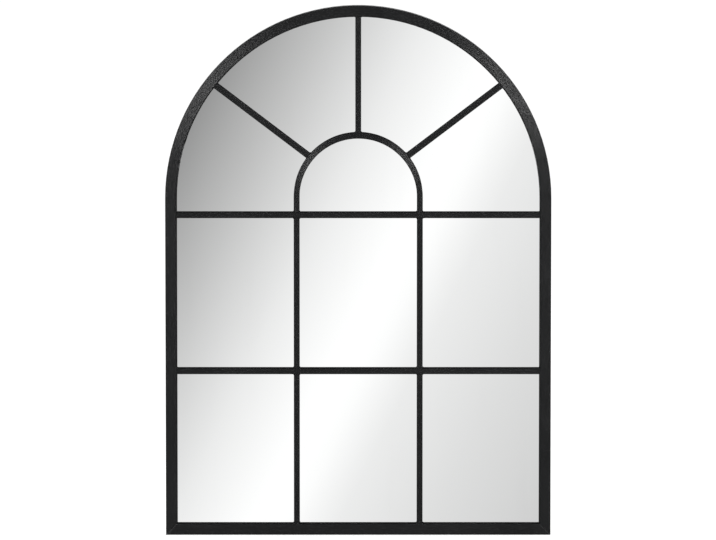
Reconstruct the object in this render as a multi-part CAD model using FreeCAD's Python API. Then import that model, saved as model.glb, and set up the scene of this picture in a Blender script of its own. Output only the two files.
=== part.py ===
"""Arched window mirror: a bent steel tube frame, a welded grille of thinner tube over one sheet of
mirror glass, and behind it a backing board, retainer clips, ring hangers and wall bumpers.

Millimetres, +Z up. The mirror faces -Y. The origin is the middle of the bottom rail's underside:
X = 0 is the middle of the width, Y = 0 the middle of the frame tube's depth, Z = 0 the base.
"""

import math
import os

import FreeCAD
import Part

# ---- Driving dimensions ------------------------------------------------------------------

# Whole frame
overall_width = 660.0
overall_height = 910.0

# Outer frame tube, rolled over the arch and mitred to the bottom rail
frame_face = 19.0  # width seen from the front
frame_wall = 1.2
frame_corner = 1.5  # outside corner radius of the tube
tube_inside_corner = 0.3  # smallest inside corner radius of any tube
mitre_gap = 0.2  # hairline left between the two mitred tubes

# Grille of thinner square tube
bar_face = 10.0
bar_depth = 10.0
bar_wall = 1.0
bar_corner = 1.0
bar_setback = 1.0  # front of the grille behind the front of the frame
upper_bar_drop = 29.0  # middle of the upper crossbar below the frame's spring line
inner_arch_lift = 2.0  # spring line of the inner arch above that of the frame
spoke_angle = 37.2  # slanted spokes, degrees above the horizontal
spoke_point_lift = 8.0  # where the slanted spokes' centrelines meet, above the frame's spring line
weld_leg = 2.6  # leg of each weld fillet
weld_facets = 4
weld_gap = 0.05

# Glazing, from the grille backwards
tape_inset = 1.5  # edge of the bar to the edge of its tape
tape_thickness = 1.0
glass_thickness = 3.0
board_thickness = 3.0
gasket_thickness = 0.9
glazing_gap = 0.1  # free play each side of the gasket

# Retainer clips
clip_thickness = 1.0
clip_width = 12.0
clip_margin = 2.5  # from the frame's outer edge to the clip's foot
clip_joggle = 2.0
clip_tongue = 10.0
clip_corner = 2.0

# Pan head screws of the clips
pan_screw_diameter = 3.0
pan_screw_length = 9.0
pan_head_diameter = 6.0
pan_head_height = 2.0
pan_dome_height = 0.9  # rounded part of the head
pan_flat_radius = 1.35  # flat middle of the head
screw_play = 0.1  # radial play of a screw in its hole
screw_point_length = 2.4
cross_width = 0.9
cross_length = 3.4
cross_depth = 1.0

# Ring hangers
hanger_drop = 12.0  # ring pivot below the frame's spring line
strap_width = 8.0
strap_ply = 1.0  # the strap is folded double round the ring
strap_screw_gap = 0.15  # end of the ring to the head of the first screw
strap_screw_pitch = 7.0
strap_tail = 4.0  # last screw to the end of the strap
strap_corner = 2.6
wire_diameter = 2.5
ring_drop = 15.0  # pivot to the far end of the ring, on the centreline
ring_side_play = 1.5  # strap to the ring's side, each side
bend_play = 0.25  # strap to the start of the ring's bends, each side
pivot_play = 0.1
ring_rest_gap = 0.25  # ring above the strap when it hangs down

# Countersunk screws of the hangers
flat_screw_diameter = 2.8
flat_screw_length = 10.0
flat_head_diameter = 5.2
flat_head_height = 1.4

# Wall bumpers
bumper_diameter = 12.0
bumper_thickness = 5.0
bumper_chamfer = 1.2
bumper_height = 45.0  # middle of the bumper above the base

# ---- Derived places ----------------------------------------------------------------------

glazing_stack = tape_thickness + glass_thickness + board_thickness
frame_depth = bar_setback + bar_depth + glazing_stack + clip_thickness
frame_front = -frame_depth / 2
frame_back = frame_depth / 2

bar_front = frame_front + bar_setback
bar_back = bar_front + bar_depth
glass_front = bar_back + tape_thickness
glass_back = glass_front + glass_thickness
board_back = glass_back + board_thickness

outer_radius = overall_width / 2
spring_height = overall_height - outer_radius
inner_radius = outer_radius - frame_face  # inner face of the arch, and half the clear width
stile_middle = outer_radius - frame_face / 2

column_opening = (2 * inner_radius - 2 * bar_face) / 3
column_pitch = column_opening + bar_face
mullion_offset = column_pitch / 2
upper_bar_height = spring_height - upper_bar_drop
row_opening = (upper_bar_height - 1.5 * bar_face - frame_face) / 2
lower_bar_height = frame_face + row_opening + bar_face / 2

tape_width = bar_face - 2 * tape_inset

inner_spring = spring_height + inner_arch_lift
inner_arch_outside = mullion_offset + bar_face / 2
spoke_point = spring_height + spoke_point_lift

wire_radius = wire_diameter / 2
eye_radius = wire_radius + pivot_play
loop_radius = eye_radius + strap_ply
pivot_depth = frame_back + loop_radius
strap_back = frame_back + 2 * strap_ply
hanger_height = spring_height - hanger_drop
strap_screw_first = ring_drop + wire_radius + flat_head_diameter / 2 + strap_screw_gap
strap_length = strap_screw_first + strap_screw_pitch + strap_tail
ring_half_width = strap_width / 2 + ring_side_play + wire_radius
ring_bend = ring_side_play + wire_radius - bend_play
ring_lean = math.asin((strap_back + ring_rest_gap + wire_radius - pivot_depth) / ring_drop)

X = FreeCAD.Vector(1, 0, 0)
Y = FreeCAD.Vector(0, 1, 0)
Z = FreeCAD.Vector(0, 0, 1)


def at(x, y, z):
    return FreeCAD.Vector(x, y, z)


# ---- Shared shapes -----------------------------------------------------------------------


def rounded_rectangle(width, depth, radius):
    """Closed wire in the XY plane, centred on the origin."""
    a = width / 2
    b = depth / 2
    c = radius * (1 - math.sqrt(0.5))
    corners = ((1, 1), (-1, 1), (-1, -1), (1, -1))
    edges = []
    for number, (sx, sy) in enumerate(corners):
        along_x = at(sx * (a - radius), sy * b, 0)
        along_y = at(sx * a, sy * (b - radius), 0)
        middle = at(sx * (a - c), sy * (b - c), 0)
        start, end = (along_y, along_x) if sx * sy > 0 else (along_x, along_y)
        edges.append(Part.Arc(start, middle, end).toShape())
        nx, ny = corners[(number + 1) % 4]
        following = at(nx * (a - radius), ny * b, 0) if sx * sy > 0 else at(nx * a, ny * (b - radius), 0)
        edges.append(Part.LineSegment(end, following).toShape())
    return Part.Wire(edges)


def tube_section(face, depth, wall, corner):
    """Section of a rectangular tube in the XY plane, centred on the origin."""
    outside = rounded_rectangle(face, depth, corner)
    inside = rounded_rectangle(face - 2 * wall, depth - 2 * wall, max(corner - wall, tube_inside_corner))
    inside.reverse()
    return Part.Face([outside, inside])


def frame_section():
    return tube_section(frame_face, frame_depth, frame_wall, frame_corner)


def bar_section():
    """Section of a grille bar, at its own depth behind the frame's front."""
    section = tube_section(bar_face, bar_depth, bar_wall, bar_corner)
    section.translate(at(0, bar_front + bar_depth / 2, 0))
    return section


def arched_tube(section, radius, spring, foot):
    """A tube bent over a half circle of this centreline radius, with a straight leg at each side."""
    start = section.copy()
    start.translate(at(radius, 0, spring))
    bend = start.revolve(at(0, 0, spring), -Y, 180)
    right_leg = start.extrude(Z * (foot - spring))
    left_leg = right_leg.mirror(at(0, 0, 0), X)
    return bend.fuse([right_leg, left_leg]).removeSplitter()


def upright_bar(x, foot, top):
    bar = bar_section()
    bar.translate(at(x, 0, foot))
    return bar.extrude(Z * (top - foot))


def level_bar(half_length, height):
    """A grille bar along X, centred, its middle at this height."""
    bar = upright_bar(0, -half_length, half_length)
    bar.rotate(at(0, 0, 0), Y, 90)
    bar.translate(at(0, 0, height))
    return bar


def disc(radius, height, front, back):
    """A solid round block about a Y axis over the middle of the width."""
    return Part.makeCylinder(radius, back - front, at(0, front, height), Y)


def arch_plate(margin, front, back):
    """A plate that fills the frame's opening but for this margin all round."""
    radius = inner_radius - margin
    foot = frame_face + margin
    left = at(-radius, front, spring_height)
    right = at(radius, front, spring_height)
    top = at(0, front, spring_height + radius)
    outline = Part.Wire([
        Part.Arc(right, top, left).toShape(),
        Part.LineSegment(left, at(-radius, front, foot)).toShape(),
        Part.LineSegment(at(-radius, front, foot), at(radius, front, foot)).toShape(),
        Part.LineSegment(at(radius, front, foot), right).toShape(),
    ])
    return Part.Face(outline).extrude(Y * (back - front))


def mirrored(shape):
    return shape.mirror(at(0, 0, 0), X)


# ---- Outer frame -------------------------------------------------------------------------


def mitre_block(reach, offset):
    """The space below the right-hand mitre plane, this far each way from the frame's inside corner.
    The plane is shifted upwards by offset."""
    corner = at(inner_radius, -frame_depth, frame_face + offset)
    block = Part.Face(Part.makePolygon([
        corner + at(-reach, 0, reach),
        corner + at(reach, 0, -reach),
        corner + at(-reach, 0, -reach),
        corner + at(-reach, 0, reach),
    ]))
    return block.extrude(Y * 2 * frame_depth)


def arch_frame(holes):
    """The bent tube: two stiles and the arch in one length, mitred at both feet."""
    tube = arched_tube(frame_section(), stile_middle, spring_height, 0)
    below = mitre_block(2 * frame_face, mitre_gap / math.sqrt(2))
    return tube.cut([below, mirrored(below)] + holes)


def bottom_rail(holes):
    """The straight tube across the foot, mitred at both ends."""
    rail = frame_section().extrude(Z * overall_width)
    rail.translate(at(0, 0, -overall_width / 2))
    rail.rotate(at(0, 0, 0), Y, 90)
    rail.translate(at(0, 0, frame_face / 2))
    keep = mitre_block(overall_width, -mitre_gap / math.sqrt(2))
    return rail.common(keep).common(mirrored(keep)).cut(holes)


# ---- Grille ------------------------------------------------------------------------------


def inner_arch():
    return arched_tube(bar_section(), mullion_offset, inner_spring, upper_bar_height + bar_face / 2)


def spoke(angle):
    """A spoke at this angle, in degrees from +X, coped to the inner arch and to the frame."""
    foot = spoke_point if angle != 90 else inner_spring
    bar = upright_bar(0, 0, overall_height)
    bar.rotate(at(0, 0, 0), Y, 90 - angle)
    bar.translate(at(0, 0, foot))
    inside = disc(inner_radius, spring_height, frame_front, frame_back)
    eye = disc(inner_arch_outside, inner_spring, frame_front, frame_back)
    return bar.common(inside).cut(eye)


def grille():
    """Every bar of the grille by node name."""
    above_rail = frame_face
    under_lower = lower_bar_height - bar_face / 2
    over_lower = lower_bar_height + bar_face / 2
    under_upper = upper_bar_height - bar_face / 2
    bars = {
        "upper_crossbar": level_bar(inner_radius, upper_bar_height),
        "lower_crossbar": level_bar(inner_radius, lower_bar_height),
        "inner_arch": inner_arch(),
        "centre_spoke": spoke(90),
        "right_spoke": spoke(spoke_angle),
        "left_spoke": spoke(180 - spoke_angle),
    }
    for side, x in (("left", -mullion_offset), ("right", mullion_offset)):
        bars[side + "_lower_mullion"] = upright_bar(x, above_rail, under_lower)
        bars[side + "_middle_mullion"] = upright_bar(x, over_lower, under_upper)
    return bars


# ---- Weld fillets ------------------------------------------------------------------------


def weld_fillet(corner, first, second):
    """A concave fillet in the inside corner between two faces that leave the corner along the
    unit directions first and second."""
    root = corner + (first + second) * weld_gap
    outline = [root]
    for step in range(weld_facets + 1):
        t = step / weld_facets
        outline.append(root + first * (weld_leg * (1 - t) ** 2) + second * (weld_leg * t**2))
    outline.append(root)
    return Part.Face(Part.makePolygon(outline)).extrude(Y * (bar_depth - 2 * bar_corner))


def butt_welds(x, z, along, across, half_width):
    """Both fillets where a bar, which leaves along a direction, stands on a face that runs across."""
    front = bar_front + bar_corner
    fillets = []
    for side in (1, -1):
        corner = at(x, front, z) + across * (side * half_width)
        fillets.append(weld_fillet(corner, along, across * side))
    return fillets


def spoke_welds(angle):
    """The four fillets of one spoke, at the inner arch and at the frame."""
    turn = math.radians(angle)
    along = at(math.cos(turn), 0, math.sin(turn))
    across = at(-math.sin(turn), 0, math.cos(turn))
    start = at(0, bar_front + bar_corner, spoke_point if angle != 90 else inner_spring)
    fillets = []
    for radius, height, outward in (
        (inner_arch_outside, inner_spring, 1),
        (inner_radius, spring_height, -1),
    ):
        centre = at(0, bar_front + bar_corner, height)
        for side in (1, -1):
            edge = start + across * (side * bar_face / 2)
            away = edge - centre
            reach = -away.dot(along) + math.sqrt(away.dot(along) ** 2 - away.dot(away) + radius**2)
            corner = edge + along * reach
            radial = (corner - centre).normalize()
            tangent = at(-radial.z, 0, radial.x)
            if tangent.dot(across) * side < 0:
                tangent = tangent * -1
            fillets.append(weld_fillet(corner, along * outward, tangent))
    return fillets


def weld_fillets():
    """All visible welds of the grille."""
    fillets = []
    half = bar_face / 2
    for height in (upper_bar_height, lower_bar_height):
        fillets += butt_welds(-inner_radius, height, X, Z, half)
    for foot, top in (
        (frame_face, lower_bar_height - half),
        (lower_bar_height + half, upper_bar_height - half),
    ):
        fillets += butt_welds(-mullion_offset, foot, Z, X, half)
        fillets += butt_welds(-mullion_offset, top, -Z, X, half)
    fillets += butt_welds(-mullion_offset, upper_bar_height + half, Z, X, half)
    fillets += spoke_welds(180 - spoke_angle)
    fillets += [mirrored(f) for f in fillets]
    fillets += spoke_welds(90)
    return fillets


# ---- Glazing -----------------------------------------------------------------------------


def mirror_glass():
    return arch_plate(gasket_thickness + 2 * glazing_gap, glass_front, glass_back)


def backing_board():
    return arch_plate(gasket_thickness + 2 * glazing_gap, glass_back, board_back)


def edge_gasket():
    """The strip between the frame and the edges of the glass and board."""
    outside = arch_plate(glazing_gap, glass_front, board_back)
    inside = arch_plate(glazing_gap + gasket_thickness, glass_front, board_back)
    return outside.cut(inside)


def tape_strip(length):
    """One strip of foam tape on the back of a bar, standing on Z = 0."""
    return Part.makeBox(tape_width, tape_thickness, length, at(-tape_width / 2, bar_back, 0))


def grille_tape():
    """Foam tape between the grille and the glass, one strip to each bar."""
    end_gap = gasket_thickness + 2 * glazing_gap
    half = tape_width / 2
    strips = []
    for height in (upper_bar_height, lower_bar_height):
        strip = tape_strip(2 * (inner_radius - end_gap))
        strip.translate(at(0, 0, -(inner_radius - end_gap)))
        strip.rotate(at(0, 0, 0), Y, 90)
        strip.translate(at(0, 0, height))
        strips.append(strip)
    spans = (
        (frame_face + end_gap, lower_bar_height - half),
        (lower_bar_height + half, upper_bar_height - half),
    )
    for foot, top in spans:
        for x in (-mullion_offset, mullion_offset):
            strip = tape_strip(top - foot)
            strip.translate(at(x, 0, foot))
            strips.append(strip)
    ring = disc(mullion_offset + half, inner_spring, bar_back, glass_front)
    ring = ring.cut(disc(mullion_offset - half, inner_spring, bar_back, glass_front))
    above = Part.makeBox(
        overall_width, tape_thickness, overall_height, at(-outer_radius, bar_back, inner_spring)
    )
    arch = ring.common(above)
    leg_foot = upper_bar_height + half
    for x in (-mullion_offset, mullion_offset):
        leg = tape_strip(inner_spring - leg_foot)
        leg.translate(at(x, 0, leg_foot))
        arch = arch.fuse(leg)
    strips.append(arch.removeSplitter())
    inside = disc(inner_radius - end_gap, spring_height, bar_back, glass_front)
    eye = disc(mullion_offset + half, inner_spring, bar_back, glass_front)
    for angle in (spoke_angle, 90, 180 - spoke_angle):
        strip = tape_strip(overall_height)
        strip.rotate(at(0, 0, 0), Y, 90 - angle)
        strip.translate(at(0, 0, spoke_point if angle != 90 else inner_spring))
        strips.append(strip.common(inside).cut(eye))
    return strips


# ---- Screws ------------------------------------------------------------------------------


def cross_recess(top):
    """The cut of a cross recess in a head whose top is at this height on Z."""
    long_way = Part.makeBox(
        cross_length, cross_width, cross_depth, at(-cross_length / 2, -cross_width / 2, top - cross_depth)
    )
    other_way = long_way.copy()
    other_way.rotate(at(0, 0, 0), Z, 90)
    return long_way.fuse(other_way)


def pan_screw():
    """A pan head screw along Z, the underside of its head on Z = 0 and its point below."""
    shank = pan_screw_diameter / 2
    rim = pan_head_diameter / 2
    shoulder = pan_head_height - pan_dome_height
    blend = math.sqrt(0.5)
    dome = at(
        pan_flat_radius + (rim - pan_flat_radius) * blend, 0, shoulder + pan_dome_height * blend
    )
    point_top = screw_point_length - pan_screw_length
    profile = Part.Wire([
        Part.LineSegment(at(0, 0, -pan_screw_length), at(shank, 0, point_top)).toShape(),
        Part.LineSegment(at(shank, 0, point_top), at(shank, 0, 0)).toShape(),
        Part.LineSegment(at(shank, 0, 0), at(rim, 0, 0)).toShape(),
        Part.LineSegment(at(rim, 0, 0), at(rim, 0, shoulder)).toShape(),
        Part.Arc(at(rim, 0, shoulder), dome, at(pan_flat_radius, 0, pan_head_height)).toShape(),
        Part.LineSegment(at(pan_flat_radius, 0, pan_head_height), at(0, 0, pan_head_height)).toShape(),
        Part.LineSegment(at(0, 0, pan_head_height), at(0, 0, -pan_screw_length)).toShape(),
    ])
    screw = Part.Face(profile).revolve(at(0, 0, 0), Z, 360)
    return screw.cut(cross_recess(pan_head_height))


def flat_screw():
    """A countersunk screw along Z, the top of its head on Z = 0 and its point below."""
    shank = flat_screw_diameter / 2
    profile = Part.makePolygon([
        at(0, 0, -flat_screw_length),
        at(shank, 0, screw_point_length - flat_screw_length),
        at(shank, 0, -flat_head_height),
        at(flat_head_diameter / 2, 0, 0),
        at(0, 0, 0),
        at(0, 0, -flat_screw_length),
    ])
    screw = Part.Face(profile).revolve(at(0, 0, 0), Z, 360)
    return screw.cut(cross_recess(0))


def facing_back(shape, x, depth, z):
    """A shape modelled along +Z, turned to point backwards and placed."""
    placed = shape.copy()
    placed.rotate(at(0, 0, 0), X, -90)
    placed.translate(at(x, depth, z))
    return placed


def drilled_hole(screw_diameter, x, z):
    """The hole of a screw through the frame tube's back wall."""
    radius = screw_diameter / 2 + screw_play
    return Part.makeCylinder(radius, 2 * frame_wall, at(x, frame_back - 1.5 * frame_wall, z), Y)


# ---- Retainer clips ----------------------------------------------------------------------


def retainer_clip():
    """A joggled clip at the foot of the frame, as if on the bottom rail at X = 0."""
    stations = (
        (clip_margin, frame_back),
        (frame_face, frame_back),
        (frame_face + clip_joggle, board_back),
        (frame_face + clip_joggle + clip_tongue, board_back),
    )
    under = [at(-clip_width / 2, depth, z) for z, depth in stations]
    over = [point + Y * clip_thickness for point in reversed(under)]
    clip = Part.Face(Part.makePolygon(under + over + under[:1])).extrude(X * clip_width)
    ends = (clip_margin, frame_face + clip_joggle + clip_tongue)
    corners = [
        edge
        for edge in clip.Edges
        if abs(edge.BoundBox.YLength - clip_thickness) < 1e-6
        and edge.BoundBox.ZLength < 1e-6
        and any(abs(edge.BoundBox.ZMin - z) < 1e-6 for z in ends)
    ]
    clip = clip.makeFillet(clip_corner, corners)
    radius = pan_screw_diameter / 2 + screw_play
    start = at(0, frame_back - clip_thickness, frame_face / 2)
    return clip.cut(Part.makeCylinder(radius, 3 * clip_thickness, start, Y))


def clip_places():
    """Node name, then the turn about the arch centre or zero, and the shift, of each clip."""
    places = []
    for name, x in (("left", -column_pitch), ("middle", 0), ("right", column_pitch)):
        places.append(("rail_clip_" + name, 0, at(x, 0, 0)))
    rows = (
        ("lower", frame_face + row_opening / 2),
        ("middle", lower_bar_height + bar_face / 2 + row_opening / 2),
    )
    for side, turn, x in (("left", 90, -outer_radius), ("right", -90, outer_radius)):
        for row, height in rows:
            places.append((side + "_clip_" + row, turn, at(x, 0, height)))
    for side, sign in (("left", -1), ("right", 1)):
        for level, angle in (("low", spoke_angle / 2), ("high", (spoke_angle + 90) / 2)):
            lean = math.radians(angle)
            rim = at(sign * outer_radius * math.cos(lean), 0, spring_height + outer_radius * math.sin(lean))
            places.append((side + "_arch_clip_" + level, -sign * (90 + angle), rim))
    return places


def placed_at_clip(shape, turn, shift):
    """Moves a shape made for the bottom rail at X = 0 to a clip's place."""
    moved = shape.copy()
    moved.rotate(at(0, 0, 0), Y, turn)
    moved.translate(shift)
    return moved


# ---- Hangers and bumpers -----------------------------------------------------------------


def hanger_strap(x):
    """A strap folded round the ring's straight side and screwed to the stile."""
    foot = hanger_height - strap_length
    plate = Part.makeBox(strap_width, 2 * strap_ply, strap_length, at(-strap_width / 2, frame_back, foot))
    corners = [
        edge
        for edge in plate.Edges
        if edge.BoundBox.YLength > strap_ply and abs(edge.BoundBox.ZMin - foot) < 1e-6
        and edge.BoundBox.ZLength < 1e-6
    ]
    plate = plate.makeFillet(strap_corner, corners)
    loop = Part.makeCylinder(loop_radius, strap_width, at(-strap_width / 2, pivot_depth, hanger_height), X)
    eye = Part.makeCylinder(eye_radius, strap_width, at(-strap_width / 2, pivot_depth, hanger_height), X)
    strap = plate.fuse(loop).cut(eye)
    for height in strap_screw_heights():
        strap = strap.cut(countersink(height))
    strap.translate(at(x, 0, 0))
    return strap


def strap_screw_heights():
    first = hanger_height - strap_screw_first
    return first, first - strap_screw_pitch


def countersink(height):
    """The countersunk hole of a strap screw at X = 0."""
    play = screw_play
    hole = Part.makeCylinder(
        flat_screw_diameter / 2 + play, 4 * strap_ply, at(0, frame_back - strap_ply, height), Y
    )
    cone = Part.makeCone(
        flat_screw_diameter / 2 + play,
        flat_head_diameter / 2 + play,
        flat_head_height,
        at(0, strap_back - flat_head_height, height),
        Y,
    )
    return hole.fuse(cone)


def hanger_ring(x):
    """The ring of round wire that hangs in the strap's eye and leans on the strap."""
    w = ring_half_width
    b = ring_bend
    low = ring_drop - w
    diagonal = math.sqrt(0.5)
    half = Part.Wire([
        Part.LineSegment(at(0, 0, 0), at(w - b, 0, 0)).toShape(),
        Part.Arc(at(w - b, 0, 0), at(w - b + b * diagonal, 0, b * diagonal - b), at(w, 0, -b)).toShape(),
        Part.LineSegment(at(w, 0, -b), at(w, 0, -low)).toShape(),
        Part.Arc(at(w, 0, -low), at(w * diagonal, 0, -low - w * diagonal), at(0, 0, -low - w)).toShape(),
    ])
    section = Part.Wire(Part.Circle(at(0, 0, 0), X, wire_radius).toShape())
    right = half.makePipeShell([section], True, False)
    ring = right.fuse(mirrored(right)).removeSplitter()
    ring.rotate(at(0, 0, 0), X, math.degrees(ring_lean))
    ring.translate(at(x, pivot_depth, hanger_height))
    return ring


def wall_bumper(x):
    """A round rubber foot on the back of a stile."""
    bumper = Part.makeCylinder(bumper_diameter / 2, bumper_thickness, at(x, frame_back, bumper_height), Y)
    rim = [
        edge
        for edge in bumper.Edges
        if abs(edge.BoundBox.YMin - frame_back - bumper_thickness) < 1e-6 and edge.BoundBox.YLength < 1e-6
    ]
    return bumper.makeChamfer(bumper_chamfer, rim)


# ---- Build -------------------------------------------------------------------------------


def build():
    """Every node of the mirror: its name, and its shape or list of separate solids."""
    clips = clip_places()
    pan_hole = drilled_hole(pan_screw_diameter, 0, frame_face / 2)
    pan_holes = {name: placed_at_clip(pan_hole, turn, shift) for name, turn, shift in clips}
    rail_holes = [hole for name, hole in pan_holes.items() if name.startswith("rail_")]
    stile_holes = [hole for name, hole in pan_holes.items() if not name.startswith("rail_")]
    for x in (-stile_middle, stile_middle):
        for height in strap_screw_heights():
            stile_holes.append(drilled_hole(flat_screw_diameter, x, height))

    nodes = {
        "arch_frame": arch_frame(stile_holes),
        "bottom_rail": bottom_rail(rail_holes),
        "weld_fillets": weld_fillets(),
        "mirror_glass": mirror_glass(),
        "backing_board": backing_board(),
        "edge_gasket": edge_gasket(),
        "grille_tape": grille_tape(),
    }
    nodes.update(grille())

    clip = retainer_clip()
    screw = facing_back(pan_screw(), 0, frame_back + clip_thickness, frame_face / 2)
    for name, turn, shift in clips:
        nodes[name] = placed_at_clip(clip, turn, shift)
    nodes["clip_screws"] = [placed_at_clip(screw, turn, shift) for _, turn, shift in clips]

    strap_screws = []
    for side, x in (("left", -stile_middle), ("right", stile_middle)):
        nodes[side + "_hanger_strap"] = hanger_strap(x)
        nodes[side + "_hanger_ring"] = hanger_ring(x)
        nodes[side + "_wall_bumper"] = wall_bumper(x)
        for height in strap_screw_heights():
            strap_screws.append(facing_back(flat_screw(), x, strap_back, height))
    nodes["hanger_screws"] = strap_screws
    return nodes


def export(nodes):
    os.makedirs("parts", exist_ok=True)
    for name, shape in nodes.items():
        solids = []
        for piece in shape if isinstance(shape, list) else [shape]:
            solids += piece.Solids
        for solid in solids:
            if not solid.isValid():
                print("invalid solid in", name)
        whole = solids[0] if len(solids) == 1 else Part.makeCompound(solids)
        whole.exportStep("parts/" + name + ".step")
        print(name, len(solids), "solids", round(sum(s.Volume for s in solids), 1), "mm3")


export(build())
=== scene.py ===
"""Looks of the arched window mirror: coated steel, silvered glass and the fittings behind it.

Metres, in the part's own frame: the mirror faces -Y, +Z is up, and the base is at Z = 0.
"""

import math

import bmesh
import bpy
from mathutils import Matrix, Vector


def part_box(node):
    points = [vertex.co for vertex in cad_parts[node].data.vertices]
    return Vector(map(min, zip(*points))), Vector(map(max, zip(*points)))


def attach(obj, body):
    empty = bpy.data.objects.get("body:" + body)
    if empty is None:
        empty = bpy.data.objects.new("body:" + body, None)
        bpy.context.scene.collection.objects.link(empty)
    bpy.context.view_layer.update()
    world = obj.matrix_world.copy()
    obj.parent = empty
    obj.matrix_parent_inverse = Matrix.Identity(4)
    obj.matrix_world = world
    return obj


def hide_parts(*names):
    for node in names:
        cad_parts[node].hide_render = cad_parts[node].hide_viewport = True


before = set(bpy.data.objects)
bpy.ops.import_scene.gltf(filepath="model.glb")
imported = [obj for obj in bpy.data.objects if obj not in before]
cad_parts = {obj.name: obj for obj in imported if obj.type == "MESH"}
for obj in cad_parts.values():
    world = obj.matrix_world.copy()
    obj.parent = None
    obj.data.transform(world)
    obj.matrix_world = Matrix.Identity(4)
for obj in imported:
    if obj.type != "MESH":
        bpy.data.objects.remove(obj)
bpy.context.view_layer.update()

# ---- Sizes that the looks add ------------------------------------------------------------

mm = 0.001

touching = 0.01 * mm  # within which two heights are the same

bead_radius = 1.15 * mm  # of a weld bead
bead_sides = 14
bead_rings = 9
bead_ripple = 0.12  # share by which each second ring is slimmer
bead_tip = 0.55  # share of the width that is left at both ends
bead_lift = 0.35  # radii from the corner to the bead's middle
bead_squeeze = (0.8, 1, 1.15)  # out of the corner, along it and across it

line_pitch = 0.11 * mm  # of the drawn lines under the coat
line_fades = 90.0  # in a metre along the tube
line_folds = 30.0  # by which the lines swing from side to side
arch_lean, bar_lean = 0.5, 0.2  # by which the lines lean the surface across the tube
coat_gloss = 0.17
ripple_depth, grain_depth = 0.03 * mm, 0.015 * mm  # of the coat
seam_from, seam_to = 0.2 * mm, 0.9 * mm  # side of a mitre's groove, from its line
seam_depth = 0.25 * mm
dressed_from, dressed_to = 2.0 * mm, 7.0 * mm  # ground zone beside a mitre

clip_thickness = 1.0 * mm
clip_width = 12.0 * mm
clip_corner = 2.0 * mm
clip_edge = 0.18 * mm  # broken edge of pressed sheet metal

bumper_taper = 0.84  # share of the width that is left at the wall face
bumper_rim, pip_rim = 0.3, 0.34  # insets, in radii
dish_depth, pip_height = 0.12, 0.06  # shares of the bumper's depth
bumper_edge = 0.5 * mm

# ---- The photograph's view ---------------------------------------------------------------

image_width = 716
object_width_in_image = 386.0
camera_distance = 12.0
camera_elevation = math.radians(6.0)
aim_shift, aim_lift = -0.4 * mm, 2.2 * mm  # of the view's middle from the mirror's

# ---- Cards and lamps ---------------------------------------------------------------------

card_distance = 2.0  # studio card that the glass reflects, in front of it
card_size = (9, 6)  # where it would stand at the glass
sweep_slant = math.radians(26.3)  # of the card's white sweep

# The right one of each pair, which the left one mirrors
sheen_card_place, sheen_card_size, sheen_card_strength = (1.8, -1.7, 1.6), 1.1, 24.0
softbox_place, softbox_size, softbox_power = (1.9, -1.7, 1.7), (1.0, 1.4), 30

back_lamp_place, back_lamp_size, back_lamp_power = (1.2, 2.6, 3.0), (2.0, 1.6), 40

# ---- Where things are, from the frame ----------------------------------------------------

frame_low, frame_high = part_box("arch_frame")
outer_radius = frame_high.x
spring_height = frame_high.z - outer_radius
frame_back = frame_high.y
middle = Vector((0, frame_low.y, frame_high.z / 2))

inner_arch_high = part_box("inner_arch")[1]
inner_spring_height = inner_arch_high.z - inner_arch_high.x
rail_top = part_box("bottom_rail")[1].z
board_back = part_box("backing_board")[1].y
spoke_angle = 37.2  # of the slanted spokes above the horizontal, degrees


# ---- Shader maths ------------------------------------------------------------------------


class Value:
    """A socket that adds Math nodes when it stands in a sum, product or power."""

    def __init__(self, finish, socket):
        self.finish = finish
        self.socket = socket

    def __add__(self, other):
        return self.finish.maths("ADD", self, other)

    __radd__ = __add__

    def __sub__(self, other):
        return self.finish.maths("SUBTRACT", self, other)

    def __rsub__(self, other):
        return self.finish.maths("SUBTRACT", other, self)

    def __mul__(self, other):
        return self.finish.maths("MULTIPLY", self, other)

    __rmul__ = __mul__

    def __truediv__(self, other):
        return self.finish.maths("DIVIDE", self, other)

    def __rtruediv__(self, other):
        return self.finish.maths("DIVIDE", other, self)

    def __pow__(self, other):
        return self.finish.maths("POWER", self, other)

    def __abs__(self):
        return self.finish.maths("ABSOLUTE", self)


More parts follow.
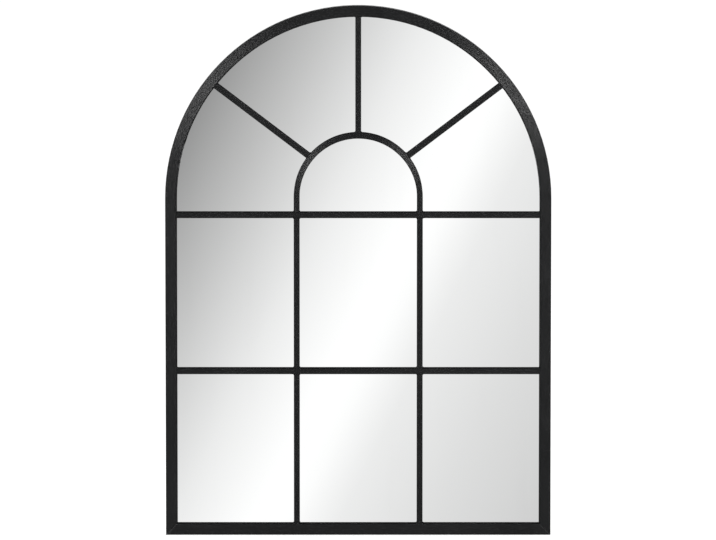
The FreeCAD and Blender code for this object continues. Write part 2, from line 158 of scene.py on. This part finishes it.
class Finish:
    """A node tree being built: a material's, or the world's."""

    def __init__(self, tree):
        self.tree = tree

    def node(self, kind, settings=None, sockets=None, output=0):
        """Adds a node, with its settings made first, and returns one of its outputs."""
        made = self.tree.nodes.new(kind)
        for name, setting in (settings or {}).items():
            if name == "stops":
                self.set_stops(made.color_ramp, setting)
            else:
                setattr(made, name, setting)
        for name, value in (sockets or {}).items():
            self.feed(made.inputs[name], value)
        return Value(self, made.outputs[output])

    def feed(self, socket, value):
        if isinstance(value, Value):
            self.tree.links.new(value.socket, socket)
        else:
            socket.default_value = value

    @staticmethod
    def set_stops(ramp, stops):
        """Fills a colour ramp with stops of a place and a level of grey."""
        while len(ramp.elements) < len(stops):
            ramp.elements.new(0.5)
        for element, (place, level) in zip(ramp.elements, stops):
            element.position = place
            element.color = (level, level, level, 1)

    def maths(self, operation, *terms):
        return self.node("ShaderNodeMath", {"operation": operation}, dict(enumerate(terms)))

    def place(self):
        """The point on the surface, in metres in the part's frame."""
        return self.node("ShaderNodeTexCoord", output="Object")

    def along(self, axis):
        return self.node("ShaderNodeSeparateXYZ", sockets={0: self.place()}, output=axis)

    def noise(self, scale, detail=2.0, roughness=0.5, stretch=None, turn=(0, 0, 0)):
        """Noise from 0 to 1 whose grains are 1 / scale metres, turned and then stretched."""
        point = self.place()
        if stretch:
            point = self.node("ShaderNodeMapping", sockets={0: point, "Rotation": turn})
            point = self.node("ShaderNodeMapping", sockets={0: point, "Scale": stretch})
        sockets = {"Vector": point, "Scale": scale, "Detail": detail, "Roughness": roughness}
        return self.node("ShaderNodeTexNoise", sockets=sockets)

    def band(self, value, low, high):
        """0 below low, 1 above high, and smooth between."""
        settings = {"interpolation_type": "SMOOTHSTEP", "clamp": True}
        sockets = {"Value": value, "From Min": low, "From Max": high}
        return self.node("ShaderNodeMapRange", settings, sockets)

    def mix(self, factor, first, second):
        """A colour between two colours."""
        sockets = {0: factor, 6: opaque(first), 7: opaque(second)}
        return self.node("ShaderNodeMix", {"data_type": "RGBA"}, sockets, output=2)

    def vectors(self, operation, *terms):
        return self.node("ShaderNodeVectorMath", {"operation": operation}, dict(enumerate(terms)))

    def leaned(self, way, share):
        """The surface's normal, leaned this way by a share."""
        lean = self.node("ShaderNodeVectorMath", {"operation": "SCALE"}, {0: way, "Scale": share})
        normal = self.node("ShaderNodeNewGeometry", output="Normal")
        return self.vectors("NORMALIZE", self.vectors("ADD", normal, lean))

    def bump(self, height, distance, under=None):
        """A normal that follows a height, over another normal where one is given."""
        sockets = {"Height": height, "Distance": distance, "Strength": 1.0}
        if under:
            sockets["Normal"] = under
        return self.node("ShaderNodeBump", sockets=sockets)


def opaque(colour):
    """A colour's three parts with its alpha, and a link as it is."""
    return (*colour, 1) if isinstance(colour, tuple) else colour


def new_finish(name, **constants):
    """A material's tree and main shader, with the sockets that stay the same all over."""
    material = bpy.data.materials.new(name)
    material.use_nodes = True
    finish = Finish(material.node_tree)
    finish.material = material
    finish.shader = material.node_tree.nodes["Principled BSDF"]
    surface(finish, **constants)
    return finish


def surface(finish, **sockets):
    """Feeds the main shader's sockets, and returns the material."""
    for socket, value in sockets.items():
        label = socket.replace("_", " ").title().replace("Ior", "IOR")
        finish.feed(finish.shader.inputs[label], value)
    return finish.material


# ---- Finishes ----------------------------------------------------------------------------


def powder_coat(name, run, lean, seams=False):
    """Satin black powder coat over drawn tube, whose fine lines follow the tube's run.

    The run is a function that gives the place across the tube, and the way across. The seams are
    the mitres between the arch's legs and the bottom rail.
    """
    f = new_finish(name, metallic=0.0, specular_ior_level=coat_gloss)
    x, y, z = f.along("X"), f.along("Y"), f.along("Z")
    patch = f.noise(9.0, detail=3.0)
    ripple = f.noise(420.0, detail=2.0)
    grain = f.noise(2600.0, detail=2.0, roughness=0.7)
    place, way = run(f, x, z)
    steps = {0: place / line_pitch, 1: y / line_pitch, 2: (x + z) * line_fades}
    lines_at = f.node("ShaderNodeCombineXYZ", sockets=steps)
    sockets = {"Vector": lines_at, "Scale": 1.0, "Detail": 1.0, "Roughness": 0.5}
    lines = f.node("ShaderNodeTexNoise", sockets=sockets)
    colour = f.mix(f.band(patch, 0.35, 0.7), (0.0052, 0.0054, 0.0058), (0.0078, 0.0080, 0.0084))
    colour = f.mix(f.band(grain, 0.62, 0.8) * 0.3, colour, (0.016, 0.016, 0.017))
    rough = 0.28 + patch * 0.05 + grain * 0.06
    relief = f.leaned(way, f.maths("SINE", lines * line_folds) * lean)
    relief = f.bump(ripple, ripple_depth, under=relief)
    relief = f.bump(grain, grain_depth, under=relief)
    if seams:
        across = (abs(x) + z - outer_radius) * math.sqrt(0.5)
        seam = 1 - f.band(abs(across), seam_from, seam_to)
        dressed = 1 - f.band(abs(across) + ripple * dressed_from, dressed_from, dressed_to)
        colour = f.mix(seam * 0.7, colour, (0.004, 0.004, 0.004))
        rough = rough + dressed * 0.07
        relief = f.bump(1 - seam, seam_depth, under=relief)
    return surface(f, base_color=colour, roughness=rough, normal=relief)


def straight(x_share, z_share):
    """Across a straight tube, by its way across."""
    return lambda f, x, z: (x * x_share + z * z_share, (x_share, 0.0, z_share))


def arched(spring):
    """Across a tube whose legs stand and whose arch springs from this height."""

    def run(f, x, z):
        rise = f.maths("MAXIMUM", z - spring, 0.0)
        reach = (x * x + rise * rise) ** 0.5
        return reach, f.node("ShaderNodeCombineXYZ", sockets={0: x / reach, 2: rise / reach})

    return run


def silvered_glass(name):
    """Polished silvered sheet, with the faintest cloudiness of cleaned glass."""
    f = new_finish(name, metallic=1.0)
    cloud = f.noise(5.0, detail=4.0)
    wipe = f.noise(30.0, detail=3.0, stretch=(1.0, 1.0, 0.15))
    smear = f.band(wipe * 0.6 + cloud * 0.4, 0.5, 0.75)
    colour = f.mix(smear, (0.962, 0.968, 0.965), (0.952, 0.957, 0.955))
    return surface(f, base_color=colour, roughness=0.012 + smear * 0.02)


def hardboard(name):
    """Brown pressed board: fibres matted in all directions, pale flecks and a faint tooth."""
    f = new_finish(name, metallic=0.0, specular_ior_level=0.35)
    tone = f.noise(7.0, detail=4.0)
    mat = 0.0
    for number, degrees in enumerate((8, 51, 97, 144)):
        turn = (0, math.radians(degrees), 0)
        fibres = f.noise(700.0 + 90.0 * number, detail=3.0, stretch=(0.13, 1.0, 1.0), turn=turn)
        mat = mat + fibres * 0.25
    pulp = f.noise(1900.0, detail=3.0, roughness=0.6)
    fleck = f.band(f.noise(1300.0, detail=1.0, stretch=(1.0, 1.0, 0.5)), 0.68, 0.76)
    colour = f.mix(f.band(mat, 0.40, 0.60), (0.135, 0.073, 0.036), (0.222, 0.129, 0.068))
    colour = f.mix(f.band(tone, 0.3, 0.75) * 0.4, colour, (0.165, 0.090, 0.045))
    colour = f.mix(f.band(pulp, 0.45, 0.75) * 0.3, colour, (0.27, 0.165, 0.090))
    colour = f.mix(fleck * 0.4, colour, (0.36, 0.25, 0.15))
    relief = f.bump(mat * 0.7 + pulp * 0.3, 0.14 * mm)
    return surface(f, base_color=colour, roughness=0.58 + pulp * 0.16, normal=relief)


def foam(name):
    """Black closed-cell foam with its tiny open pores."""
    f = new_finish(name, metallic=0.0, specular_ior_level=0.25)
    pores = f.node("ShaderNodeTexVoronoi", sockets={"Vector": f.place(), "Scale": 1400.0})
    colour = f.mix(f.band(pores, 0.1, 0.6), (0.006, 0.006, 0.006), (0.02, 0.02, 0.021))
    relief = f.bump(pores, 0.2 * mm)
    return surface(f, base_color=colour, roughness=0.8 + pores * 0.15, normal=relief)


def zinc(name, brushed=(1.0, 1.0, 1.0), tint=(0.58, 0.585, 0.595)):
    """Bright zinc plate: drawn lines, cloudy passivation and small dull specks."""
    f = new_finish(name, metallic=1.0)
    cloud = f.noise(160.0, detail=3.0)
    lines = f.noise(2200.0, detail=3.0, stretch=brushed)
    speck = f.band(f.noise(1100.0, detail=2.0), 0.66, 0.78)
    dull = tuple(c * 0.7 for c in tint)
    warm = (tint[0] * 1.02, tint[1] * 0.98, tint[2] * 0.91)
    colour = f.mix(f.band(cloud, 0.35, 0.7), tint, warm)
    colour = f.mix(f.band(lines, 0.35, 0.65) * 0.25, colour, dull)
    colour = f.mix(speck * 0.5, colour, dull)
    rough = 0.24 + lines * 0.16 + cloud * 0.1
    return surface(f, base_color=colour, roughness=rough, normal=f.bump(lines, 0.03 * mm))


def bright_wire(name):
    """Nickel-plated wire with fine drawing marks."""
    f = new_finish(name, metallic=1.0)
    cloud = f.noise(220.0, detail=3.0)
    marks = f.noise(2400.0, detail=2.0)
    colour = f.mix(cloud, (0.66, 0.655, 0.64), (0.74, 0.735, 0.72))
    rough = 0.14 + marks * 0.1 + f.band(cloud, 0.55, 0.75) * 0.08
    return surface(f, base_color=colour, roughness=rough, normal=f.bump(marks, 0.01 * mm))


def rubber(name):
    """Moulded black rubber with a dusty bloom."""
    f = new_finish(name, metallic=0.0, specular_ior_level=0.3)
    bloom = f.noise(260.0, detail=4.0)
    grain = f.noise(3000.0, detail=2.0)
    colour = f.mix(f.band(bloom, 0.4, 0.75), (0.014, 0.014, 0.014), (0.034, 0.033, 0.032))
    rough = 0.62 + bloom * 0.2
    return surface(f, base_color=colour, roughness=rough, normal=f.bump(grain, 0.04 * mm))


# ---- Modelling helpers -------------------------------------------------------------------


def nothing_selected():
    if bpy.context.object and bpy.context.object.mode != "OBJECT":
        bpy.ops.object.mode_set(mode="OBJECT")
    bpy.ops.object.select_all(action="DESELECT")


def made(name):
    """The object that an add operator has just made, named."""
    piece = bpy.context.object
    piece.name = name
    piece.data.name = name
    return piece


def select_vertices(piece, wanted):
    """In edit mode, selects the vertices whose place passes the test, and nothing else."""
    bpy.ops.mesh.select_all(action="DESELECT")
    mesh = bmesh.from_edit_mesh(piece.data)
    for vertex in mesh.verts:
        vertex.select_set(wanted(vertex.co))
    mesh.select_flush_mode()
    bmesh.update_edit_mesh(piece.data)


def modifier(piece, kind, **settings):
    """Adds a modifier and applies it."""
    added = piece.modifiers.new(kind.title(), kind)
    for name, setting in settings.items():
        setattr(added, name, setting)
    bpy.ops.object.modifier_apply(modifier=added.name)


def round_edges(piece, width, segments, angle):
    """Rounds the edges that turn by more than an angle in degrees."""
    limit = math.radians(angle)
    modifier(
        piece, "BEVEL", width=width, segments=segments, limit_method="ANGLE", angle_limit=limit
    )


def settle(piece):
    """Moves a piece's place, turn and size into its mesh."""
    piece.data.transform(piece.matrix_basis)
    piece.matrix_basis = Matrix.Identity(4)
    return piece


def copy_of(piece, name, matrix):
    """A copy with its own mesh, placed by a matrix."""
    twin = piece.copy()
    twin.data = piece.data.copy()
    twin.name = name
    twin.data.name = name
    bpy.context.scene.collection.objects.link(twin)
    twin.data.transform(matrix)
    return twin


def joined(pieces, name):
    """Several copies joined into one piece."""
    nothing_selected()
    for piece in pieces:
        piece.select_set(True)
    bpy.context.view_layer.objects.active = pieces[0]
    bpy.ops.object.join()
    return made(name)


def smooth(piece, angle):
    """Smooth shading, but for the edges that turn by more than an angle in degrees."""
    nothing_selected()
    piece.select_set(True)
    bpy.context.view_layer.objects.active = piece
    bpy.ops.object.shade_smooth_by_angle(angle=math.radians(angle))


def finish_piece(piece, material, slot, body, *nodes):
    """Gives a finished piece its material and body, and hides the CAD nodes that it stands for."""
    piece.data.materials.clear()
    piece.data.materials.append(material)
    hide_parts(*nodes)
    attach(piece, body)


# ---- Weld beads --------------------------------------------------------------------------


def weld_corners():
    """Each weld's inside corner, the way it faces, and its front and back, from the CAD fillets."""
    mesh = bmesh.new()
    mesh.from_mesh(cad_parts["weld_fillets"].data)
    bmesh.ops.remove_doubles(mesh, verts=mesh.verts, dist=0.001 * mm)
    left = set(mesh.verts)
    corners = []
    while left:
        island = {left.pop()}
        edge = list(island)
        while edge:
            vertex = edge.pop()
            near = {e.other_vert(vertex) for e in vertex.link_edges} - island
            island |= near
            edge += near
        left -= island
        points = [v.co.copy() for v in island]
        front = min(p.y for p in points)
        back = max(p.y for p in points)
        flat = [Vector((p.x, 0, p.z)) for p in points if p.y == front]
        pairs = [(a, b) for a in flat for b in flat]
        one, two = max(pairs, key=lambda pair: (pair[0] - pair[1]).length)
        chord = (two - one).normalized()
        root = max(flat, key=lambda p: (p - one).cross(chord).length)
        facing = ((one + two) / 2 - root).normalized()
        corners.append((root, facing, front, back))
    mesh.free()
    return sorted(corners, key=lambda corner: tuple(corner[0]))


def weld_bead(length):
    """One rippled bead along Y, from the origin backwards, rounded at both ends."""
    nothing_selected()
    bpy.ops.mesh.primitive_cylinder_add(
        vertices=bead_sides, radius=bead_radius, depth=length, rotation=(math.radians(90), 0, 0),
        location=(0, length / 2, 0),
    )
    bead = settle(made("weld_bead"))
    bpy.ops.object.mode_set(mode="EDIT")
    mesh = bmesh.from_edit_mesh(bead.data)
    bpy.ops.mesh.select_all(action="DESELECT")
    bpy.ops.mesh.select_mode(type="EDGE")
    for edge in mesh.edges:
        ends = [v.co.y for v in edge.verts]
        edge.select_set(abs(ends[0] - ends[1]) > length / 2)
    bmesh.update_edit_mesh(bead.data)
    bpy.ops.mesh.subdivide(number_cuts=bead_rings)
    bpy.ops.mesh.select_mode(type="VERT")
    step = length / (bead_rings + 1)
    for ring in range(bead_rings + 2):
        depth = ring * step
        select_vertices(bead, lambda co: abs(co.y - depth) < step / 4)
        tip = bead_tip if ring in (0, bead_rings + 1) else 1.0
        size = tip * (1 - bead_ripple * (ring % 2))
        bpy.ops.transform.resize(value=(size, 1, size), center_override=(0, depth, 0))
    bpy.ops.object.mode_set(mode="OBJECT")
    modifier(bead, "SUBSURF", levels=1, render_levels=1)
    return bead


def weld_beads(material):
    """All the beads as one piece, each lying in its corner."""
    corners = weld_corners()
    front, back = corners[0][2], corners[0][3]
    bead = weld_bead(back - front)
    copies = []
    for number, (root, facing, front, back) in enumerate(corners):
        turn = Vector((1, 0, 0)).rotation_difference(facing).to_matrix().to_4x4()
        start = root + facing * bead_radius * bead_lift + Vector((0, front, 0))
        matrix = Matrix.Translation(start) @ turn @ Matrix.Diagonal((*bead_squeeze, 1))
        copies.append(copy_of(bead, "bead_%02d" % number, matrix))
    bpy.data.objects.remove(bead)
    piece = joined(copies, "weld_beads")
    smooth(piece, 60)
    finish_piece(piece, material, "black_steel", "mirror", "weld_fillets")


# ---- Retainer clips ----------------------------------------------------------------------


def clip_pattern():
    """One joggled clip, as if on the bottom rail at X = 0, its foot towards the base."""
    low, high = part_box("rail_clip_middle")
    centre = (low.x + high.x) / 2
    step = frame_back - board_back
    stations = (
        (low.z, frame_back),
        (rail_top, frame_back),
        (rail_top + 2 * step, board_back),
        (high.z, board_back),
    )
    nothing_selected()
    bpy.ops.mesh.primitive_plane_add(size=1, location=(0, 0, 0), rotation=(math.radians(90), 0, 0))
    clip = settle(made("clip"))
    bpy.ops.object.mode_set(mode="EDIT")
    select_vertices(clip, lambda co: co.z > 0)
    bpy.ops.transform.translate(value=(0, stations[1][1], stations[1][0] - 0.5))
    select_vertices(clip, lambda co: co.z < 0)
    bpy.ops.transform.translate(value=(0, stations[0][1], stations[0][0] + 0.5))
    for (height, depth), (next_height, next_depth) in zip(stations[1:], stations[2:]):
        select_vertices(clip, lambda co: abs(co.z - height) < touching)
        move = (0, next_depth - depth, next_height - height)
        bpy.ops.mesh.extrude_region_move(TRANSFORM_OT_translate={"value": move})
    bpy.ops.mesh.select_all(action="SELECT")
    bpy.ops.transform.resize(value=(clip_width, 1, 1), center_override=(0, 0, 0))
    bpy.ops.mesh.normals_make_consistent(inside=False)
    bpy.ops.object.mode_set(mode="OBJECT")
    clip.data.transform(Matrix.Translation((centre, 0, 0)))
    if clip.data.polygons[0].normal.y < 0:
        clip.data.flip_normals()
    return clip


def shape_clip(clip):
    """Rounds the clip's corners and bends, gives it its thickness and breaks its edges."""
    low = min(v.co.z for v in clip.data.vertices)
    high = max(v.co.z for v in clip.data.vertices)
    bpy.ops.object.mode_set(mode="EDIT")
    select_vertices(clip, lambda co: min(abs(co.z - low), abs(co.z - high)) < touching)
    bpy.ops.mesh.bevel(offset=clip_corner, segments=5, affect="VERTICES")
    bpy.ops.object.mode_set(mode="OBJECT")
    modifier(clip, "SOLIDIFY", thickness=clip_thickness, offset=1.0)
    round_edges(clip, clip_edge, 2, 20)
    smooth(clip, 35)
    return clip


def clip_place(node, pattern_centre):
    """The matrix that takes the pattern clip to a clip node's place, turned about Y."""
    low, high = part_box(node)
    centre = (low + high) / 2
    if node.startswith("rail_"):
        return Matrix.Translation((centre.x - pattern_centre.x, 0, 0))
    if "_arch_" in node:
        hub = Vector((0, 0, spring_height))
        lean = math.atan2(centre.x, centre.z - spring_height)
        reach = outer_radius - pattern_centre.z
        foot = hub + Vector((math.sin(lean), 0, math.cos(lean))) * reach
        turn = math.pi + lean
    else:
        side = math.copysign(1, centre.x)
        foot = Vector((side * (outer_radius - pattern_centre.z), 0, centre.z))
        turn = -side * math.pi / 2
    start = Vector((pattern_centre.x, 0, pattern_centre.z))
    return Matrix.Translation(foot) @ Matrix.Rotation(turn, 4, "Y") @ Matrix.Translation(-start)


def retainer_clips(material):
    pattern = shape_clip(clip_pattern())
    low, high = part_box("rail_clip_middle")
    pattern_centre = (low + high) / 2
    nodes = [name for name in sorted(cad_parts) if "_clip_" in name and name != "clip_screws"]
    for node in nodes:
        piece = copy_of(pattern, node + "_pressed", clip_place(node, pattern_centre))
        finish_piece(piece, material, "zinc_clip", "mirror", node)
    bpy.data.objects.remove(pattern)


# ---- Wall bumpers ------------------------------------------------------------------------


def wall_bumper(side, material):
    """A moulded rubber foot: soft rim, shallow dish and a central pip of the mould."""
    node = side + "_wall_bumper"
    low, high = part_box(node)
    centre = (low + high) / 2
    radius = (high.x - low.x) / 2
    depth = high.y - low.y
    nothing_selected()
    bpy.ops.mesh.primitive_cylinder_add(
        vertices=48, radius=radius, depth=depth, rotation=(math.radians(-90), 0, 0), location=centre
    )
    foot = settle(made(side + "_moulded_bumper"))
    bpy.ops.object.mode_set(mode="EDIT")
    bpy.ops.mesh.select_mode(type="FACE")
    mesh = bmesh.from_edit_mesh(foot.data)
    bpy.ops.mesh.select_all(action="DESELECT")
    for face in mesh.faces:
        face.select_set(face.normal.y > 0.9)
    bmesh.update_edit_mesh(foot.data)
    bpy.ops.transform.resize(value=(bumper_taper, 1, bumper_taper), center_override=centre)
    bpy.ops.mesh.inset(thickness=radius * bumper_rim)
    bpy.ops.transform.translate(value=(0, -depth * dish_depth, 0))
    bpy.ops.mesh.inset(thickness=radius * pip_rim)
    pip = (0, depth * pip_height, 0)
    bpy.ops.mesh.extrude_region_move(TRANSFORM_OT_translate={"value": pip})
    bpy.ops.object.mode_set(mode="OBJECT")
    round_edges(foot, bumper_edge, 4, 15)
    smooth(foot, 60)
    finish_piece(foot, material, "bumper_rubber", "mirror", node)


# ---- Carried-over CAD nodes --------------------------------------------------------------


def dress(material, *names):
    """Gives CAD nodes a finish."""
    for name in names:
        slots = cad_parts[name].data.materials
        slots.clear()
        slots.append(material)


def dress_nodes():
    """Dresses every CAD node that shows, and returns the level bars' coat."""
    level = straight(0.0, 1.0)
    coat = powder_coat("black_coat_level", level, bar_lean)
    dress(coat, "upper_crossbar", "lower_crossbar", "weld_fillets")
    outer, inner = arched(spring_height), arched(inner_spring_height)
    dress(powder_coat("black_coat_arch", outer, arch_lean, seams=True), "arch_frame")
    dress(powder_coat("black_coat_rail", level, bar_lean, seams=True), "bottom_rail")
    dress(powder_coat("black_coat_inner_arch", inner, arch_lean), "inner_arch")
    tilt = math.radians(spoke_angle)
    for name, side in (("right_spoke", -1), ("left_spoke", 1)):
        slanted = straight(side * math.sin(tilt), math.cos(tilt))
        dress(powder_coat("black_coat_" + name, slanted, bar_lean), name)
    standing = powder_coat("black_coat_upright", straight(1.0, 0.0), bar_lean)
    dress(standing, "centre_spoke")
    for side in ("left", "right"):
        dress(standing, side + "_lower_mullion", side + "_middle_mullion")
    dress(silvered_glass("silvered_glass"), "mirror_glass")
    dress(hardboard("hardboard"), "backing_board")
    dress(foam("black_foam"), "edge_gasket", "grille_tape")
    screws = zinc("zinc_screw", tint=(0.66, 0.66, 0.66))
    dress(screws, "clip_screws", "hanger_screws")
    strap = zinc("zinc_strap", brushed=(1.0, 1.0, 0.05))
    wire = bright_wire("bright_wire")
    for side in ("left", "right"):
        dress(strap, side + "_hanger_strap")
        dress(wire, side + "_hanger_ring")
    return coat


# ---- Studio ------------------------------------------------------------------------------


def new_stage_finish(name):
    """A stage material with an empty tree but for its output."""
    material = bpy.data.materials.new(name)
    material.use_nodes = True
    finish = Finish(material.node_tree)
    finish.tree.nodes.remove(finish.tree.nodes["Principled BSDF"])
    finish.material = material
    return finish


def shown_as(finish, shader):
    """Feeds a stage material's output."""
    finish.feed(finish.tree.nodes["Material Output"].inputs["Surface"], shader)


def first_glow(finish, colour, strength):
    """Light that is seen straight or in a first reflection, and not in a second."""
    first = finish.maths("LESS_THAN", finish.node("ShaderNodeLightPath", output="Ray Depth"), 1.5)
    sockets = {"Color": colour, "Strength": first * strength}
    return finish.node("ShaderNodeEmission", sockets=sockets)


def stand_in_reflections(card, finish):
    """Gives a card its material, and hides it from all but glossy rays."""
    card.data.materials.append(finish.material)
    card.visible_camera = False
    card.visible_diffuse = False
    card.visible_shadow = False
    card.visible_transmission = False


def floor():
    """A pale floor that keeps the object's shadow, and that can't be seen from below."""
    f = new_stage_finish("floor")
    diffuse = f.node("ShaderNodeBsdfDiffuse", sockets={"Color": (0.55, 0.55, 0.55, 1)})
    seen = f.node("ShaderNodeLightPath", output="Is Camera Ray")
    glow = f.node("ShaderNodeEmission", sockets={"Color": (1, 1, 1, 1), "Strength": seen * 0.62})
    lit = f.node("ShaderNodeAddShader", sockets={0: diffuse, 1: glow})
    clear = f.node("ShaderNodeBsdfTransparent")
    below = f.node("ShaderNodeNewGeometry", output="Backfacing")
    shown = f.node("ShaderNodeMixShader", sockets={0: below, 1: lit, 2: clear})
    shown_as(f, shown)
    nothing_selected()
    bpy.ops.mesh.primitive_plane_add(size=90, location=(0, 0, -0.5 * mm))
    ground = made("floor")
    ground.data.materials.append(f.material)
    ground.visible_glossy = False


def studio_card():
    """The tall card that stands in front of the glass, which only reflections show.

    From left to right it is pale, grey, white in a slanting sweep, light grey, and pale again.
    """
    f = new_stage_finish("studio_card")
    ramp_from, ramp_to = -3.0, 3.0
    across = f.along("X") * math.cos(sweep_slant) - f.along("Y") * math.sin(sweep_slant)
    stops = (
        (-2.60, 0.95),
        (-1.60, 0.62),
        (-0.42, 0.22),
        (-0.24, 0.56),
        (-0.09, 0.87),
        (0.02, 1.04),
        (0.08, 1.05),
        (0.16, 0.87),
        (0.31, 0.75),
        (0.50, 0.63),
        (1.20, 0.55),
        (2.60, 0.90),
    )
    stops = [((s - ramp_from) / (ramp_to - ramp_from), level) for s, level in stops]
    place = (across - ramp_from) / (ramp_to - ramp_from)
    colour = f.node("ShaderNodeValToRGB", {"stops": stops}, {0: place})
    foot = f.band(f.along("Y"), -1.6, -0.45) * 0.4 + 0.6
    shown_as(f, first_glow(f, colour, foot))
    drop = card_distance * math.tan(camera_elevation)
    spread = 1 + card_distance / camera_distance
    nothing_selected()
    bpy.ops.mesh.primitive_plane_add(
        size=1, location=(0, -card_distance, middle.z - drop), rotation=(math.radians(90), 0, 0)
    )
    card = made("studio_card")
    card.data.transform(Matrix.Diagonal((*card_size, 1, 1)))
    card.scale = (spread, spread, spread)
    stand_in_reflections(card, f)


def sheen_card(name, place):
    """A bright card that only the coat's sheen and other reflections show."""
    f = new_stage_finish(name)
    shown_as(f, first_glow(f, (1, 1, 1, 1), sheen_card_strength))
    nothing_selected()
    bpy.ops.mesh.primitive_plane_add(size=sheen_card_size, location=place)
    card = made(name)
    card.rotation_euler = (middle - Vector(place)).to_track_quat("Z", "Y").to_euler()
    stand_in_reflections(card, f)


def soft_world():
    """White behind everything, an even light all round, and a darker ceiling in reflections."""
    world = bpy.data.worlds.new("studio")
    bpy.context.scene.world = world
    world.use_nodes = True
    f = Finish(world.node_tree)
    towards = f.node("ShaderNodeTexCoord", output="Generated")
    height = f.node("ShaderNodeSeparateXYZ", sockets={0: towards}, output="Z")
    stops = ((0.0, 0.50), (0.47, 0.80), (0.53, 0.88), (0.66, 0.60), (0.85, 0.15), (1.0, 0.12))
    room = f.node("ShaderNodeValToRGB", {"stops": stops}, {0: height * 0.5 + 0.5})
    glossy = f.node("ShaderNodeLightPath", output="Is Glossy Ray")
    seen = f.node("ShaderNodeLightPath", output="Is Camera Ray")
    colour = f.mix(glossy, (0.78, 0.78, 0.78), room)
    colour = f.mix(seen, colour, (1.0, 1.0, 1.0))
    f.feed(f.tree.nodes["Background"].inputs["Color"], colour)


def lamp(name, place, size, power):
    """A soft rectangular lamp aimed at the middle of the mirror."""
    data = bpy.data.lights.new(name, "AREA")
    data.shape = "RECTANGLE"
    data.size, data.size_y = size
    data.energy = power
    lamp_object = bpy.data.objects.new(name, data)
    bpy.context.scene.collection.objects.link(lamp_object)
    lamp_object.location = place
    aim = middle - Vector(place)
    lamp_object.rotation_euler = aim.to_track_quat("-Z", "Y").to_euler()


def to_the_left(place):
    """The place across the mirror from one at its right."""
    x, y, z = place
    return (-x, y, z)


def camera():
    """The photograph's view: square on, a little above, from far off."""
    data = bpy.data.cameras.new("camera")
    seen_width = 2 * outer_radius * image_width / object_width_in_image
    data.sensor_width = 36.0
    data.lens = data.sensor_width * camera_distance / seen_width
    data.clip_end = 100.0
    eye = bpy.data.objects.new("camera", data)
    bpy.context.scene.collection.objects.link(eye)
    back = Vector((0, -math.cos(camera_elevation), math.sin(camera_elevation)))
    eye.location = middle + Vector((aim_shift, 0, aim_lift)) + back * camera_distance
    eye.rotation_euler = (-back).to_track_quat("-Z", "Y").to_euler()
    bpy.context.scene.camera = eye


# ---- The picture -------------------------------------------------------------------------

coat = dress_nodes()
weld_beads(coat)
retainer_clips(zinc("zinc_clip"))
bumper_rubber = rubber("bumper_rubber")
for side in ("left", "right"):
    wall_bumper(side, bumper_rubber)

floor()
studio_card()
sheen_card("left_sheen_card", to_the_left(sheen_card_place))
sheen_card("right_sheen_card", sheen_card_place)
soft_world()
lamp("left_softbox", to_the_left(softbox_place), softbox_size, softbox_power)
lamp("right_softbox", softbox_place, softbox_size, softbox_power)
lamp("back_lamp", back_lamp_place, back_lamp_size, back_lamp_power)
camera()
bpy.context.scene.view_settings.view_transform = "Standard"
